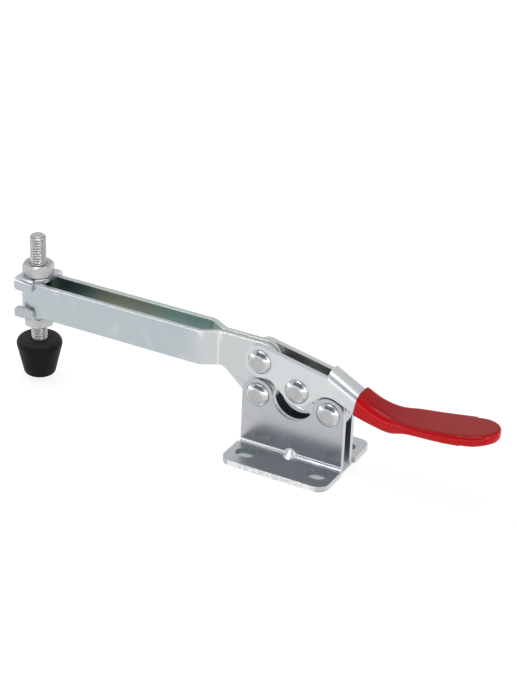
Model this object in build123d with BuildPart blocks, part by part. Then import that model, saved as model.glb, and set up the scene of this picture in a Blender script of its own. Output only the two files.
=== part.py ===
"""Horizontal-handle toggle clamp with a long U-shaped bar and a rubber-tipped spindle.

Millimetres, +Z up, +X towards the handle, the base's underside on Z = 0 and the origin in
the middle of its four mounting slots.  The clamp is drawn closed and locked.

Every pressed piece lies in one of two layers each side of the middle plane: the bar's two
legs and the two link plates are the inner layer, and the base plates and the handle's
cheeks are the outer one.
"""

import math
import os

from build123d import *

os.makedirs("parts", exist_ok=True)

# ---------------------------------------------------------------- driving sizes
sheet = 2.0  # thickness of all the pressed steel
leg_gap = 0.4  # between the bar's two legs at the pivots
layer_gap = 0.05  # between the inner layer and the outer one, each side
pin_gap = 0.05  # radial running clearance round a rivet

pivot_x = 13.5  # base pivots A and D stand this far each side of the origin
pivot_z = 21.8  # and this high
bar_pivot_x = -13.2  # pivot B, bar to handle
bar_pivot_z = 34.5
link_pivot_x = 1.3  # pivot C, handle to link, just under the line from B to D
link_pivot_z = 27.2

lobe_r = 5.9  # round ears of the base plates
flange_out = 18.6  # half width over both flanges
flange_over = 0.7  # how far each flange reaches past the upright, each end
flange_corner = 4.0
bend_r = 1.2  # inside radius of the base bend
notch_z = 15.65  # bottom of the round notch between the ears
slot_x = 13.8  # mounting slots, half spacing
slot_y = 11.1
slot_long = 7.0
slot_wide = 5.6
rib_r = 2.6  # stiffening rib pressed across the bend
rib_near_z = 4.6  # its crest leaves the upright here
rib_far_y = 7.5  # and meets the flange here

rivet_r = 2.1
head_r = 4.4
head_flat_r = 2.6
head_high = 1.7
head_rim = 0.4  # straight part of the head's edge

bar_top = 40.6
bar_high = 12.8
bar_half = 6.0  # half the bar's width where it is wide
spindle_x = -105.6
link_r = 6.0
joggle_start = -35.6
joggle_end = -29.5
joggle_r = 2.0
bar_foot_r = 5.3  # bar's round foot at pivot A
bar_corner_x = -28.3  # where the bar's lower edge turns down to the foot
bar_corner_r = 5.0
bar_free_back = (-2.75, -0.35)  # open pivot: pin B's furthest places in the bar, from its rest
bar_free_out = (1.15, 2.45)
bar_free_gap = 0.2

cheek_r = 5.8  # handle's round end at pivot B
cheek_low_r = 5.6  # its round belly at pivot C
belly_gap = 0.7  # between the handle's cut-out and the ear of the base it passes round
chin_slope = 42.0  # fall of the cheeks' lower edge from pivot B to the belly
chin_r = 3.0
cheek_slope = 11.4  # fall of the cheeks' upper edge, degrees
cheek_fall_slope = 22.0  # fall of the lower edge into the grip
web_start_x = 12.7  # where the handle closes into a channel
web_start_z = 37.7
web_slope = 28.0
step_r = 1.2  # where the cheeks' upper edge steps up to the channel
web_bend_r = 2.8
valley_r = 20.0  # where the channel turns up into the tang
tang_z0 = 27.3  # height of the tang's top at the grip's thin station
tang_slope = 7.1
tang_neck = 30.0  # X where the tang starts to spread
flange_end_x = 42.5  # X where the channel's sides have run out
tang_end = 71.8  # X of the steel's far end

spindle_r = 2.95
spindle_top = 57.2
spindle_fit = 0.05  # radial, in the nuts and the washers
washer_thick = 1.5
washer_half = 5.4
washer_tab = 3.0  # how far the tabs reach along the bar's sides
tab_wide = 7.4
tab_bend_r = 1.45
tab_corner_r = 1.3
tab_gap = 0.1
nut_flats = 10.0
nut_high = 4.6
thin_nut_high = 4.0
nut_face_r = 4.7  # flat face inside the chamfer
nut_bevel = 0.35
upper_turn = 44.0  # how the nuts came to rest, degrees
lower_turn = 2.0
spindle_point = 0.6
head_z = 9.0  # spindle's hexagon head inside the cap
head_thick = 4.0

cap_top = 16.7
cap_bottom = 2.2
cap_r = 8.3
cap_foot_r = 5.55
cap_wide_z = 14.0
cap_round = 2.2
cap_foot_round = 1.6

vinyl = 1.0  # coating of the grip over the steel
grip_lean = 10.4  # tilt of the grip's mouth, degrees
grip_low_r = 1.2
grip_tip_x = 73.4
grip_tip_back = 2.0  # centre of the end's ellipse behind the last station
grip_tip_over = 0.6  # and its half width over the grip's
# grip stations: X, half width, top, bottom, radius of the upper corners
grip_mouth = (23.3, 5.25, 32.85, 24.5, 3.7)
grip_neck = (30.0, 5.45, 29.75, 22.9, 3.4)
grip_waist = (36.5, 6.15, 28.05, 22.35, 2.6)
grip_thin = (43.0, 7.4, 28.05, 24.45, 1.65)
grip_blade = (50.0, 8.0, 28.65, 25.2, 1.6)
grip_palm = (57.0, 8.4, 29.6, 25.85, 1.7)
grip_end = (64.5, 8.5, 30.75, 26.85, 1.75)
grip_over = (74.5, 8.5, 32.3, 28.5, 1.75)  # past the rounded end, trimmed away

# ---------------------------------------------------------------- derived sizes
inner_face = leg_gap / 2 + sheet  # outside of the bar's legs and of the link plates
plate_in = inner_face + layer_gap  # inside of the base plates and of the handle's cheeks
plate_out = plate_in + sheet
hole_r = rivet_r + pin_gap
base_half = pivot_x + lobe_r
bar_end_z = bar_top - bar_high

A = (-pivot_x, pivot_z)
B = (bar_pivot_x, bar_pivot_z)
C = (link_pivot_x, link_pivot_z)
D = (pivot_x, pivot_z)


def polar(centre, radius, degrees):
    """Point at an angle on a circle in the side view."""
    a = math.radians(degrees)
    return (centre[0] + radius * math.cos(a), centre[1] + radius * math.sin(a))


def heading(p, q):
    """Direction from p to q in degrees."""
    return math.degrees(math.atan2(q[1] - p[1], q[0] - p[0]))


def side(y):
    """Side-view plane at a given Y: sketch x is X, sketch y is Z, extruding towards -Y."""
    return Plane(origin=(0, y, 0), x_dir=(1, 0, 0), z_dir=(0, -1, 0))


# ---------------------------------------------------------------- base plates
# the notch is tangent to both ears: its centre is where the two circles just touch
notch_c = (pivot_x**2 + pivot_z**2 - (lobe_r - notch_z) ** 2) / (2 * (pivot_z + lobe_r - notch_z))
notch_r = notch_c - notch_z
notch_turn = heading(A, (0, notch_c))
notch_l = polar(A, lobe_r, notch_turn)
notch_rt = (-notch_l[0], notch_l[1])
flange_in = plate_out + bend_r
flange_half = base_half + flange_over
bend_z = sheet + bend_r
bend_c = (-flange_in, bend_z)
rib_turn = heading((-rib_far_y, sheet), (-plate_out, rib_near_z))  # slope of the rib's crest

with BuildPart() as base_front:
    with BuildSketch(side(-plate_in)):
        with BuildLine():
            Line((-base_half, bend_z), (-base_half, pivot_z))
            ThreePointArc((-base_half, pivot_z), polar(A, lobe_r, 90 + notch_turn / 2), notch_l)
            ThreePointArc(notch_l, (0, notch_z), notch_rt)
            ThreePointArc(notch_rt, polar(D, lobe_r, 90 - notch_turn / 2), (base_half, pivot_z))
            Line((base_half, pivot_z), (base_half, bend_z))
            Line((base_half, bend_z), (-base_half, bend_z))
        make_face()
    extrude(amount=sheet)
    with BuildSketch(Plane.YZ.offset(-base_half)):
        with BuildLine():
            Line((-plate_in, bend_z), (-plate_out, bend_z))
            ThreePointArc((-plate_out, bend_z), polar(bend_c, bend_r, -45), (-flange_in, sheet))
            Line((-flange_in, sheet), (-flange_in, 0))
            ThreePointArc((-flange_in, 0), polar(bend_c, bend_r + sheet, -45), (-plate_in, bend_z))
        make_face()
    extrude(amount=2 * base_half)
    with BuildSketch():
        with BuildLine():
            Polyline(
                (-flange_half, -flange_in), (-flange_half, -flange_out), (flange_half, -flange_out),
                (flange_half, -flange_in), close=True,
            )
        make_face()
        fillet(vertices().group_by(Axis.Y)[0], flange_corner)
    extrude(amount=sheet)
    with BuildSketch():
        with Locations((-slot_x, -slot_y), (slot_x, -slot_y)):
            SlotOverall(slot_long, slot_wide)
    extrude(amount=sheet, mode=Mode.SUBTRACT)
    with BuildSketch(side(0)):
        with Locations(A, D):
            Circle(rivet_r)
    extrude(amount=plate_out, mode=Mode.SUBTRACT)
    # a round rib pressed across the bend: swelling on the outside, hollow behind
    crest = Vector(0, -plate_out, rib_near_z)
    out = Vector(0, -math.sin(math.radians(rib_turn)), math.cos(math.radians(rib_turn)))
    along = Vector(0, -math.cos(math.radians(rib_turn)), -math.sin(math.radians(rib_turn)))
    with BuildSketch(Plane(origin=crest - out * rib_r, x_dir=(1, 0, 0), z_dir=along)):
        Circle(rib_r)
    extrude(amount=rib_far_y)
    with BuildSketch(Plane(origin=crest - out * (sheet + rib_r - 0.8), x_dir=(1, 0, 0), z_dir=along)):
        Circle(rib_r - 0.8)
    extrude(amount=rib_far_y, both=True, mode=Mode.SUBTRACT)
    with BuildSketch(Plane.YZ):
        with BuildLine():
            Polyline(
                (-plate_in, bend_z), (-plate_in, 4 * bend_z), (plate_in, 4 * bend_z),
                (plate_in, -sheet - rib_r), (-flange_out, -sheet - rib_r), (-flange_out, 0),
                (-flange_in, 0),
            )
            ThreePointArc((-flange_in, 0), polar(bend_c, bend_r + sheet, -45), (-plate_in, bend_z))
        make_face()
    extrude(amount=2 * rib_r, both=True, mode=Mode.SUBTRACT)
base_front.part.label = "base_plate_front"

with BuildPart() as base_rear:
    mirror(base_front.part, about=Plane.XZ)
base_rear.part.label = "base_plate_rear"

# ---------------------------------------------------------------- bar
joggle_turn = math.atan2(bar_half - inner_face, joggle_end - joggle_start)
joggle_shift = sheet * math.tan(joggle_turn / 2)  # inner corners lie this far ahead
bar_tail = bar_top - B[1]  # radius of the round end at pivot B
bar_tail_x = B[0] + bar_tail + 1
bar_nose_x = spindle_x - bar_half
back_turn = heading(A, B) - math.degrees(math.acos((bar_foot_r - bar_tail) / math.dist(A, B)))
bar_corner = (bar_corner_x, bar_end_z)
foot_turn = heading(A, bar_corner) + math.degrees(math.acos(bar_foot_r / math.dist(A, bar_corner)))
foot_turn -= 360

with BuildPart() as bar:
    with BuildSketch():
        with BuildLine():
            ThreePointArc(
                (bar_nose_x, 0), polar((spindle_x, 0), bar_half, 135), (spindle_x, bar_half)
            )
            Polyline(
                (spindle_x, bar_half), (joggle_start, bar_half), (joggle_end, inner_face),
                (bar_tail_x, inner_face), (bar_tail_x, leg_gap / 2),
                (joggle_end - joggle_shift, leg_gap / 2),
                (joggle_start - joggle_shift, bar_half - sheet), (spindle_x, bar_half - sheet),
            )
            ThreePointArc(
                (spindle_x, bar_half - sheet), polar((spindle_x, 0), bar_half - sheet, 135),
                (bar_nose_x + sheet, 0),
            )
            Line((bar_nose_x + sheet, 0), (bar_nose_x, 0))
        make_face()
        convex = [(joggle_start, bar_half), (joggle_end - joggle_shift, leg_gap / 2)]
        concave = [(joggle_end, inner_face), (joggle_start - joggle_shift, bar_half - sheet)]
        for places, radius in ((convex, joggle_r + sheet), (concave, joggle_r)):
            for place in places:
                fillet(vertices().sort_by_distance((*place, 0))[0], radius)
        mirror(about=Plane.XZ)
    extrude(amount=bar_top)
    with BuildSketch(side(bar_half)):
        with BuildLine():
            Line((bar_nose_x, bar_top), (B[0], bar_top))
            ThreePointArc(
                (B[0], bar_top), polar(B, bar_tail, (90 + back_turn) / 2), polar(B, bar_tail, back_turn)
            )
            Line(polar(B, bar_tail, back_turn), polar(A, bar_foot_r, back_turn))
            ThreePointArc(
                polar(A, bar_foot_r, back_turn), polar(A, bar_foot_r, (back_turn + foot_turn) / 2),
                polar(A, bar_foot_r, foot_turn),
            )
            Polyline(
                polar(A, bar_foot_r, foot_turn), bar_corner, (bar_nose_x, bar_end_z),
                (bar_nose_x, bar_top),
            )
        make_face()
        fillet(vertices().sort_by_distance((*bar_corner, 0))[0], bar_corner_r)
    extrude(amount=2 * bar_half, mode=Mode.INTERSECT)
    with BuildSketch(side(bar_half)):
        with Locations(A):
            Circle(hole_r)
    extrude(amount=2 * bar_half, mode=Mode.SUBTRACT)
    # clearance opening that lets the open pivot B wander as the bar swings
    with BuildSketch(side(bar_half)):
        for step in ((0, 0), bar_free_back, bar_free_out):
            with Locations((B[0] + step[0], B[1] + step[1])):
                Circle(hole_r + bar_free_gap)
        make_hull()
    extrude(amount=2 * bar_half, mode=Mode.SUBTRACT)
bar.part.label = "bar"


# ---------------------------------------------------------------- links
def link_plate(y):
    """Round-ended plate from pivot C to pivot D with its near face at a given Y."""
    with BuildPart() as plate:
        with BuildSketch(side(y)):
            with Locations(C, D):
                Circle(link_r)
            make_hull()
            with Locations(C, D):
                Circle(hole_r, mode=Mode.SUBTRACT)
        extrude(amount=sheet)
    return plate.part


link_front = link_plate(-leg_gap / 2)
link_front.label = "link_plate_front"
link_rear = link_plate(inner_face)
link_rear.label = "link_plate_rear"


# ---------------------------------------------------------------- handle
def web_z(x, drop=0.0):
    """Height of the channel's straight top, or of a line a drop below it, at a given X."""
    slope = math.radians(web_slope)
    return web_start_z - (x - web_start_x) * math.tan(slope) - drop / math.cos(slope)


def tang_z(x, drop=0.0):
    """Height of the tang's top, or of a line a drop below it, at a given X."""
    slope = math.radians(tang_slope)
    return tang_z0 + (x - grip_thin[0]) * math.tan(slope) - drop / math.cos(slope)


def steel_line(drop):
    """Start, valley and far end of the steel's top line, a drop below it."""
    fall = math.tan(math.radians(web_slope)) + math.tan(math.radians(tang_slope))
    valley_x = grip_thin[0] + (web_z(grip_thin[0], drop) - tang_z(grip_thin[0], drop)) / fall
    return [
        (web_start_x, web_z(web_start_x, drop)), (valley_x, web_z(valley_x, drop)),
        (tang_end, tang_z(tang_end, drop)),
    ]


cut_r = lobe_r + belly_gap
ear_low = (B[0], B[1] - cheek_r)
ear_top = polar(B, cheek_r, 90 - cheek_slope)
cheek_end_z = ear_top[1] - (web_start_x - ear_top[0]) * math.tan(math.radians(cheek_slope))
cross = math.degrees(math.acos((cheek_low_r + cut_r) / math.dist(C, D)))
cross_c = heading(C, D) - cross
cross_d = heading(D, C) - cross
belly_left = polar(C, cheek_low_r, 270 - chin_slope)
belly_right = polar(C, cheek_low_r, cross_c)
cut_left = polar(D, cut_r, cross_d)
cut_right = polar(D, cut_r, 90 - cheek_fall_slope)
chin = (belly_left[0] - (ear_low[1] - belly_left[1]) / math.tan(math.radians(chin_slope)), ear_low[1])
mouth_x = grip_mouth[0] - vinyl
mouth_low = (mouth_x, cut_right[1] - (mouth_x - cut_right[0]) * math.tan(math.radians(cheek_fall_slope)))
roof = bar_top + sheet

# the closed channel, square-ended and deep
with BuildPart() as channel:
    crown = steel_line(0)
    with BuildSketch(side(plate_out)):
        Polygon(*crown, (tang_end, sheet), (web_start_x, sheet), align=None)
        fillet(vertices().sort_by_distance((*crown[1], 0))[0], valley_r)
    extrude(amount=2 * plate_out)
    crests = edges().filter_by(lambda e: abs(abs(e.center().Y) - plate_out) < 0.01)
    crests = crests.filter_by(lambda e: e.center().Z > crown[1][1] - 1)
    crests = crests.filter_by(lambda e: web_start_x + 0.1 < e.center().X < tang_end - 0.1)
    fillet(crests, web_bend_r)

# everything the pressing leaves open: between the cheeks and under the web
with BuildPart() as hollow:
    ceiling = steel_line(sheet)
    with BuildSketch(side(plate_in)):
        Polygon(*ceiling, (tang_end, 0), (web_start_x, 0), align=None)
        fillet(vertices().sort_by_distance((*ceiling[1], 0))[0], valley_r + sheet)
    extrude(amount=2 * plate_in)
    crests = edges().filter_by(lambda e: abs(abs(e.center().Y) - plate_in) < 0.01)
    crests = crests.filter_by(lambda e: e.center().Z > ceiling[1][1] - 1)
    crests = crests.filter_by(lambda e: web_start_x + 0.1 < e.center().X < tang_end - 0.1)
    fillet(crests, web_bend_r - sheet)
    with BuildSketch(side(plate_in)):
        Polygon(
            (B[0] - 2 * cheek_r, 0), (web_start_x, 0), (web_start_x, roof), (B[0] - 2 * cheek_r, roof),
            align=None,
        )
    extrude(amount=2 * plate_in)

# the flat tang that spreads out inside the grip
with BuildPart() as tang:
    with BuildSketch(side(grip_end[1])):
        Polygon(*crown, *reversed(ceiling), align=None)
        fillet(vertices().sort_by_distance((*crown[1], 0))[0], valley_r)
        fillet(vertices().sort_by_distance((*ceiling[1], 0))[0], valley_r + sheet)
    extrude(amount=2 * grip_end[1])
    with BuildSketch():
        with BuildLine():
            wide = grip_end[1] - vinyl
            Polyline(
                (tang_neck, 0), (tang_neck, plate_out - web_bend_r), (grip_waist[0], plate_out),
                (grip_thin[0], grip_thin[1] - vinyl), (grip_palm[0], wide), (grip_end[0], wide),
            )
            EllipticalCenterArc((grip_end[0], 0), tang_end - grip_end[0], wide, start_angle=0, arc_size=90)
            Line((tang_end, 0), (tang_neck, 0))
        make_face()
        mirror(about=Plane.XZ)
    extrude(amount=roof, mode=Mode.INTERSECT)

with BuildPart() as handle:
    add(channel.part)
    with BuildSketch(side(plate_out)):
        Polygon(
            (B[0] - 2 * cheek_r, 0), (web_start_x, 0), (web_start_x, roof), (B[0] - 2 * cheek_r, roof),
            align=None,
        )
    extrude(amount=2 * plate_out)
    with BuildSketch(side(plate_out)):
        with BuildLine():
            ThreePointArc(ear_low, polar(B, cheek_r, 180 - cheek_slope / 2), ear_top)
            Polyline(
                ear_top, (web_start_x, cheek_end_z), (web_start_x, roof), (flange_end_x, roof),
                (flange_end_x, grip_thin[3] + vinyl),
            )
            Polyline(
                (flange_end_x, grip_thin[3] + vinyl), (grip_waist[0], grip_waist[3] + vinyl), mouth_low,
                cut_right,
            )
            ThreePointArc(cut_right, polar(D, cut_r, (90 - cheek_fall_slope + cross_d) / 2), cut_left)
            Line(cut_left, belly_right)
            ThreePointArc(
                belly_right, polar(C, cheek_low_r, (cross_c - 90 - chin_slope) / 2), belly_left
            )
            Polyline(belly_left, chin, ear_low)
        make_face()
        fillet(vertices().sort_by_distance((*chin, 0))[0], chin_r)
        fillet(vertices().sort_by_distance((web_start_x, cheek_end_z, 0))[0], step_r)
    extrude(amount=2 * plate_out, mode=Mode.INTERSECT)
    add(tang.part)
    add(hollow.part, mode=Mode.SUBTRACT)
    with BuildSketch(side(plate_out)):
        with Locations(B, C):
            Circle(rivet_r)
    extrude(amount=2 * plate_out, mode=Mode.SUBTRACT)
handle.part.label = "handle"


# ---------------------------------------------------------------- grip
def grip_section(x, half, top, bottom, upper_r, lower_r, lean=0.0):
    """Cross-section of the grip: flat-bottomed, with rounder corners on top."""
    turn = math.radians(lean)
    middle = (top + bottom) / 2
    plane = Plane(origin=(x, 0, middle), x_dir=(0, 1, 0), z_dir=(math.cos(turn), 0, -math.sin(turn)))
    tall = (top - bottom) / 2
    with BuildSketch(plane) as section:
        Rectangle(2 * half, 2 * tall)
        fillet(vertices().group_by(Axis.Y)[-1], upper_r)
        fillet(vertices().group_by(Axis.Y)[0], lower_r)
    return section.sketch.faces()[0]


stations = [grip_section(*grip_mouth, grip_low_r, grip_lean)]
for station in (grip_neck, grip_waist, grip_thin, grip_blade, grip_palm, grip_end, grip_over):
    stations.append(grip_section(*station, grip_low_r))

with BuildPart() as grip:
    loft(stations)
    with BuildSketch():
        with Locations((grip_end[0] - grip_tip_back, 0)):
            Ellipse(grip_tip_x - grip_end[0] + grip_tip_back, grip_end[1] + grip_tip_over)
        with Locations((grip_end[0] - grip_tip_back, 0)):
            Rectangle(grip_over[0], 4 * grip_end[1], align=(Align.MAX, Align.CENTER))
    extrude(amount=2 * roof, mode=Mode.INTERSECT)
    add(handle.part, mode=Mode.SUBTRACT)
grip.part.label = "grip"


# ---------------------------------------------------------------- rivets
def rivet(pivot):
    """Solid rivet through all the plates at a pivot, formed alike at both ends."""
    bulge = head_flat_r + 0.66 * (head_r - head_flat_r)
    with BuildPart() as body:
        with BuildSketch(Plane(origin=(pivot[0], 0, pivot[1]), x_dir=(1, 0, 0), z_dir=(0, 0, 1))):
            with BuildLine():
                Polyline(
                    (0, 0), (rivet_r, 0), (rivet_r, plate_out), (head_r, plate_out),
                    (head_r, plate_out + head_rim),
                )
                ThreePointArc(
                    (head_r, plate_out + head_rim), (bulge, plate_out + head_high * 0.76),
                    (head_flat_r, plate_out + head_high),
                )
                Polyline((head_flat_r, plate_out + head_high), (0, plate_out + head_high), (0, 0))
            make_face()
            mirror(about=Plane.XZ)
        revolve(axis=Axis((pivot[0], 0, pivot[1]), (0, 1, 0)))
    return body.part


rivets = []
for name, pivot in (("a", A), ("b", B), ("c", C), ("d", D)):
    rivets.append(rivet(pivot))
    rivets[-1].label = "rivet_" + name

# ---------------------------------------------------------------- spindle and cap
with BuildPart() as spindle:
    with BuildSketch(Plane.XY.offset(head_z)):
        with Locations((spindle_x, 0)):
            RegularPolygon(nut_flats / 2, 6, major_radius=False)
    extrude(amount=head_thick)
    with BuildSketch(Plane.XY.offset(head_z)):
        with Locations((spindle_x, 0)):
            Circle(spindle_r)
    extrude(amount=spindle_top - head_z)
    chamfer(faces().sort_by(Axis.Z)[-1].edges(), spindle_point)
spindle.part.label = "spindle"

with BuildPart() as cap:
    with BuildSketch(Plane(origin=(spindle_x, 0, 0), x_dir=(1, 0, 0), z_dir=(0, -1, 0))):
        Polygon(
            (0, cap_bottom), (cap_foot_r, cap_bottom), (cap_r, cap_wide_z), (cap_r, cap_top), (0, cap_top),
            align=None,
        )
        outer = vertices().filter_by(lambda v: v.X > 1)
        fillet(outer.group_by(Axis.Y)[0], cap_foot_round)
        fillet(vertices().sort_by_distance((cap_r, cap_wide_z, 0))[0], cap_round)
        fillet(vertices().sort_by_distance((cap_r, cap_top, 0))[0], cap_round)
    revolve(axis=Axis((spindle_x, 0, 0), (0, 0, 1)))
    add(spindle.part, mode=Mode.SUBTRACT)
cap.part.label = "cap"


# ---------------------------------------------------------------- nuts
def nut(bottom, high, turn):
    """Hexagon nut with both rims chamfered, turned so that a corner points at an angle."""
    corner_r = nut_flats / math.sqrt(3)
    with BuildPart() as body:
        with BuildSketch(Plane.XY.offset(bottom)):
            with Locations((spindle_x, 0)):
                RegularPolygon(nut_flats / 2, 6, major_radius=False, rotation=turn)
        extrude(amount=high)
        with BuildSketch(Plane(origin=(spindle_x, 0, bottom), x_dir=(1, 0, 0), z_dir=(0, -1, 0))):
            drop = (corner_r - nut_face_r) * math.tan(math.radians(30))
            bore = spindle_r + spindle_fit
            Polygon(
                (bore, nut_bevel), (bore + nut_bevel, 0), (nut_face_r, 0), (corner_r, drop),
                (corner_r, high - drop), (nut_face_r, high), (bore + nut_bevel, high),
                (bore, high - nut_bevel), align=None,
            )
        revolve(axis=Axis((spindle_x, 0, 0), (0, 0, 1)), mode=Mode.INTERSECT)
    return body.part


nut_upper = nut(bar_top + washer_thick, nut_high, upper_turn)
nut_upper.label = "nut_upper"
nut_lower = nut(bar_end_z - washer_thick - thin_nut_high, thin_nut_high, lower_turn)
nut_lower.label = "nut_lower"


# ---------------------------------------------------------------- washers
def washer(face_z, up):
    """Flanged washer on the bar's face: a disc with two tabs bent back along the bar's sides."""
    tab_in = bar_half + tab_gap
    tab_out = tab_in + washer_thick
    far = face_z + up * washer_thick
    low = min(face_z, far)
    with BuildPart() as body:
        with BuildSketch(Plane.XY.offset(low)):
            with Locations((spindle_x, 0)):
                Circle(washer_half)
        extrude(amount=washer_thick)
        for hand in (-1, 1):
            centre = (spindle_x + hand * (washer_half - tab_wide / 2), hand * tab_out / 2)
            with BuildSketch(Plane.XY.offset(low)):
                with Locations(centre):
                    Rectangle(tab_wide, tab_out)
            extrude(amount=washer_thick)
            with BuildSketch(Plane.XY.offset(far if up < 0 else face_z - washer_tab)):
                with Locations((centre[0], hand * (tab_in + washer_thick / 2))):
                    Rectangle(tab_wide, washer_thick)
            extrude(amount=washer_tab + washer_thick)
        outer = edges().filter_by(Axis.X).filter_by(lambda e: abs(abs(e.center().Y) - tab_out) < 0.01)
        fillet(outer.filter_by(lambda e: abs(e.center().Z - far) < 0.01), tab_bend_r)
        tips = edges().filter_by(Axis.Y).filter_by(lambda e: abs(e.length - washer_thick) < 0.01)
        tips = tips.filter_by(lambda e: abs(e.center().Z - face_z + up * washer_tab) < 0.01)
        fillet(tips, tab_corner_r)
        with BuildSketch(Plane.XY.offset(low)):
            with Locations((spindle_x, 0)):
                Circle(spindle_r + spindle_fit)
        extrude(amount=washer_thick, mode=Mode.SUBTRACT)
    return body.part


washer_upper = washer(bar_top, 1)
washer_upper.label = "washer_upper"
washer_lower = washer(bar_end_z, -1)
washer_lower.label = "washer_lower"

# ---------------------------------------------------------------- export
for piece in (
    base_front.part, base_rear.part, bar.part, link_front, link_rear, handle.part, grip.part, *rivets,
    spindle.part, cap.part, nut_upper, nut_lower, washer_upper, washer_lower,
):
    export_step(piece, "parts/" + piece.label + ".step")
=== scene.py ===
"""Looks of a zinc-plated horizontal toggle clamp, dressed over its solids.

The clamp's own frame has +X towards the handle, +Z up and the base's underside on Z = 0. Blender
works in metres there; sizes in the classes are in millimetres, as a maker would give them.
"""

import logging
import math
from dataclasses import dataclass, field, replace
from enum import Enum
from typing import Any, NamedTuple, Optional, Sequence, Union

import bmesh
import bpy
from mathutils import Matrix, Vector


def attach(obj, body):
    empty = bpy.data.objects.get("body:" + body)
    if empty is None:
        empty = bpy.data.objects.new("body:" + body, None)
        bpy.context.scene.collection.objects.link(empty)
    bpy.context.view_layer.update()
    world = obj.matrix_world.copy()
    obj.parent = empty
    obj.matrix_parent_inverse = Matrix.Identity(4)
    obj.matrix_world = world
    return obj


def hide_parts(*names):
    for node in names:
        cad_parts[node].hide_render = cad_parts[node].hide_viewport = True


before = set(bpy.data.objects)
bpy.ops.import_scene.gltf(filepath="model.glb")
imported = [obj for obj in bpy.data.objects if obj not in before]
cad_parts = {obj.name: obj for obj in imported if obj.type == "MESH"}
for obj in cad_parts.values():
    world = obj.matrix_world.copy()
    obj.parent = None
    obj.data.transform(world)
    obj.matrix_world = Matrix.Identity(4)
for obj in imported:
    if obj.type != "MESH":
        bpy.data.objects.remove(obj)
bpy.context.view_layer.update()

MM = 0.001
WELD = 0.001 * MM
SHARP = math.radians(35)
log = logging.getLogger("clamp")

Colour = tuple[float, float, float]
Point = tuple[float, float, float]
Range = tuple[float, float]
Number = Union[float, "Field"]
Paint = Union[Colour, bpy.types.NodeSocket]


class Output(Enum):
    """Outputs of the nodes that a finish reads, by name or by place."""

    VALUE = "Value"
    RESULT = "Result"
    OBJECT = "Object"
    GENERATED = "Generated"
    NORMAL = "Normal"
    FIRST = 0
    BLEND = 2


class Field:
    """A number that varies over a surface, with arithmetic on it.

    Args:
        shader: the finish's shader that the number belongs to.
        socket: the output socket that carries it.
    """

    def __init__(self, shader: "Shader", socket: bpy.types.NodeSocket) -> None:
        self.shader = shader
        self.socket = socket

    def _math(self, operation: str, *values: Number) -> "Field":
        """One Math node on some values."""
        inputs = dict(enumerate(values))
        return self.shader.field("ShaderNodeMath", {"operation": operation}, inputs, Output.VALUE)

    def __add__(self, other: Number) -> "Field":
        """Sum."""
        return self._math("ADD", self, other)

    __radd__ = __add__

    def __sub__(self, other: Number) -> "Field":
        """Difference."""
        return self._math("SUBTRACT", self, other)

    def __rsub__(self, other: Number) -> "Field":
        """Difference, from a plain number."""
        return self._math("SUBTRACT", other, self)

    def __mul__(self, other: Number) -> "Field":
        """Product."""
        return self._math("MULTIPLY", self, other)

    __rmul__ = __mul__

    def __truediv__(self, other: Number) -> "Field":
        """Quotient."""
        return self._math("DIVIDE", self, other)

    def __rtruediv__(self, other: Number) -> "Field":
        """Quotient, of a plain number."""
        return self._math("DIVIDE", other, self)

    def __pow__(self, other: Number) -> "Field":
        """Power."""
        return self._math("POWER", self, other)

    def __abs__(self) -> "Field":
        """Size without sign."""
        return self._math("ABSOLUTE", self)

    def step(self, low: float, high: float) -> "Field":
        """Smooth step from 0 at low to 1 at high.

        Args:
            low: value that gives 0.
            high: value that gives 1; it may be under low.

        Returns:
            The stepped field, between 0 and 1.
        """
        settings = {"interpolation_type": "SMOOTHSTEP", "clamp": True}
        inputs = {"Value": self, "From Min": low, "From Max": high, "To Min": 0.0, "To Max": 1.0}
        return self.shader.field("ShaderNodeMapRange", settings, inputs, Output.RESULT)

    def step_mm(self, low: float, high: float) -> "Field":
        """Smooth step of a length, between two values in millimetres."""
        return self.step(low * MM, high * MM)


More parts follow.
